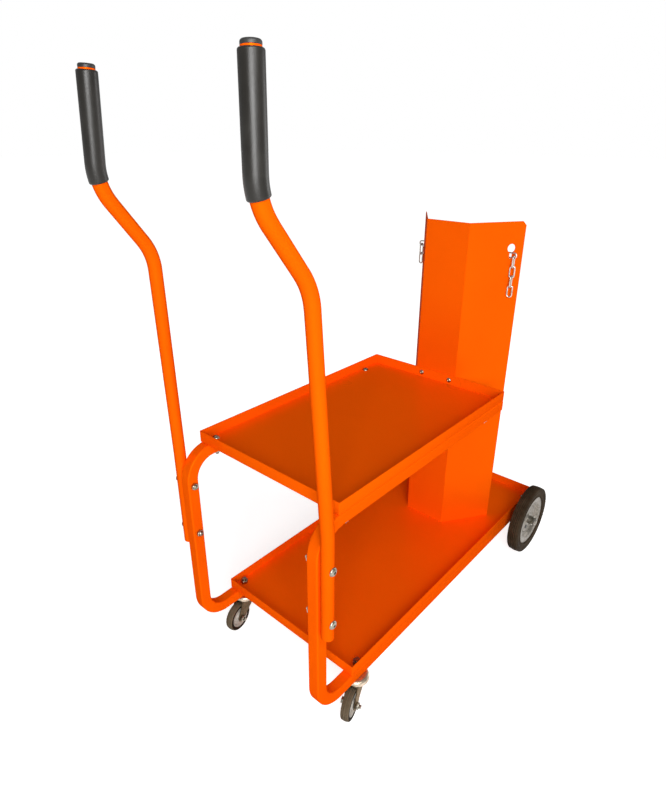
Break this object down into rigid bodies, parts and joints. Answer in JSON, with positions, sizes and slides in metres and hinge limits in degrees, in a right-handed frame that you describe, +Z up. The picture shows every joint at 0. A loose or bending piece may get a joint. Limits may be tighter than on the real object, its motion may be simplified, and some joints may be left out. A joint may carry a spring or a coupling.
{
  "type": "welding trolley",
  "caption": "Tray trolley for a welding set and its gas cylinder, with a folded cylinder plate and chain, swept handles, fixed wheels and swivel casters.",
  "frame": {"origin": "on the floor, under the middle of the whole trolley", "axes": "+X to the right of a person at the handles, +Y forwards towards the cylinder and the fixed wheels, +Z up"},
  "size_m": [0.4978, 1.0486, 1.2],
  "materials": {
    "orange_paint": "glossy powder coat",
    "zinc": "zinc plated",
    "chain_zinc": "bright zinc plated",
    "rim_silver": "silver paint",
    "black_tyre": "moulded rubber",
    "grey_rubber": "moulded grey rubber",
    "foam_grip": "closed-cell foam",
    "black_plastic": "moulded plastic",
    "fork_steel": "dull plated steel",
    "core_grey": "moulded plastic"
  },
  "bodies": {
    "chassis": {"lower_tray": "orange_paint", "upper_tray": "orange_paint", "cylinder_plate": "orange_paint", "left_side_frame": "orange_paint", "right_side_frame": "orange_paint", "left_handle": "orange_paint", "right_handle": "orange_paint", "left_grip": "foam_grip", "right_grip": "foam_grip", "left_handle_cap": "black_plastic", "right_handle_cap": "black_plastic", "handle_bolts": "zinc", "handle_nuts": "zinc", "upper_tray_bolts": "zinc", "upper_tray_nuts": "zinc", "lower_tray_bolts": "zinc", "lower_tray_nuts": "zinc", "plate_screws": "zinc", "plate_screw_nuts": "zinc", "plate_foot_bolts": "zinc", "plate_foot_nuts": "zinc", "axle": "zinc", "axle_spacers": "zinc", "axle_washers": "zinc", "axle_nuts": "zinc", "left_caster_stem": "zinc", "right_caster_stem": "zinc", "caster_stem_nuts": "zinc", "left_caster_head": "zinc", "right_caster_head": "zinc", "left_caster_balls": "zinc", "right_caster_balls": "zinc", "chain_span": "chain_zinc"},
    "left_wheel": {"left_wheel_tyre": "black_tyre", "left_rim_outer": "rim_silver", "left_rim_inner": "rim_silver", "left_wheel_hub": "zinc"},
    "left_caster": {"left_caster_fork": "fork_steel", "left_caster_axle": "zinc", "left_caster_axle_nut": "zinc"},
    "left_caster_wheel": {"left_caster_tyre": "grey_rubber", "left_caster_core": "core_grey", "left_caster_bush": "black_plastic"},
    "left_loose_chain": {"left_chain_tail": "chain_zinc"},
    "right_wheel": {"right_wheel_tyre": "black_tyre", "right_rim_outer": "rim_silver", "right_rim_inner": "rim_silver", "right_wheel_hub": "zinc"},
    "right_caster": {"right_caster_fork": "fork_steel", "right_caster_axle": "zinc", "right_caster_axle_nut": "zinc"},
    "right_caster_wheel": {"right_caster_tyre": "grey_rubber", "right_caster_core": "core_grey", "right_caster_bush": "black_plastic"},
    "right_loose_chain": {"right_chain_tail": "chain_zinc"}
  },
  "joints": [
    {"name": "left_wheel_spin", "type": "hinge", "parent": "chassis", "child": "left_wheel", "pos_m": [-0.221, 0.42682, 0.0975], "axis": [1, 0, 0], "continuous": true},
    {"name": "left_caster_swivel", "type": "hinge", "parent": "chassis", "child": "left_caster", "pos_m": [-0.1755, -0.29468, 0.089], "axis": [0, 0, 1], "continuous": true},
    {"name": "left_caster_spin", "type": "hinge", "parent": "left_caster", "child": "left_caster_wheel", "pos_m": [-0.17049, -0.32628, 0.035], "axis": [0.9877, 0.1564, 0], "continuous": true},
    {"name": "left_chain_swing", "type": "hinge", "parent": "chassis", "child": "left_loose_chain", "pos_m": [-0.12598, 0.31835, 0.85015], "axis": [0.1045, 0.9945, 0], "range_deg": [0, 60]},
    {"name": "right_wheel_spin", "type": "hinge", "parent": "chassis", "child": "right_wheel", "pos_m": [0.221, 0.42682, 0.0975], "axis": [1, 0, 0], "continuous": true},
    {"name": "right_caster_swivel", "type": "hinge", "parent": "chassis", "child": "right_caster", "pos_m": [0.1755, -0.29468, 0.089], "axis": [0, 0, 1], "continuous": true},
    {"name": "right_caster_spin", "type": "hinge", "parent": "right_caster", "child": "right_caster_wheel", "pos_m": [0.18486, -0.32528, 0.035], "axis": [0.9563, 0.2924, 0], "continuous": true},
    {"name": "right_chain_swing", "type": "hinge", "parent": "chassis", "child": "right_loose_chain", "pos_m": [0.12598, 0.31835, 0.85015], "axis": [0.1045, -0.9945, 0], "range_deg": [0, 60]}
  ]
}
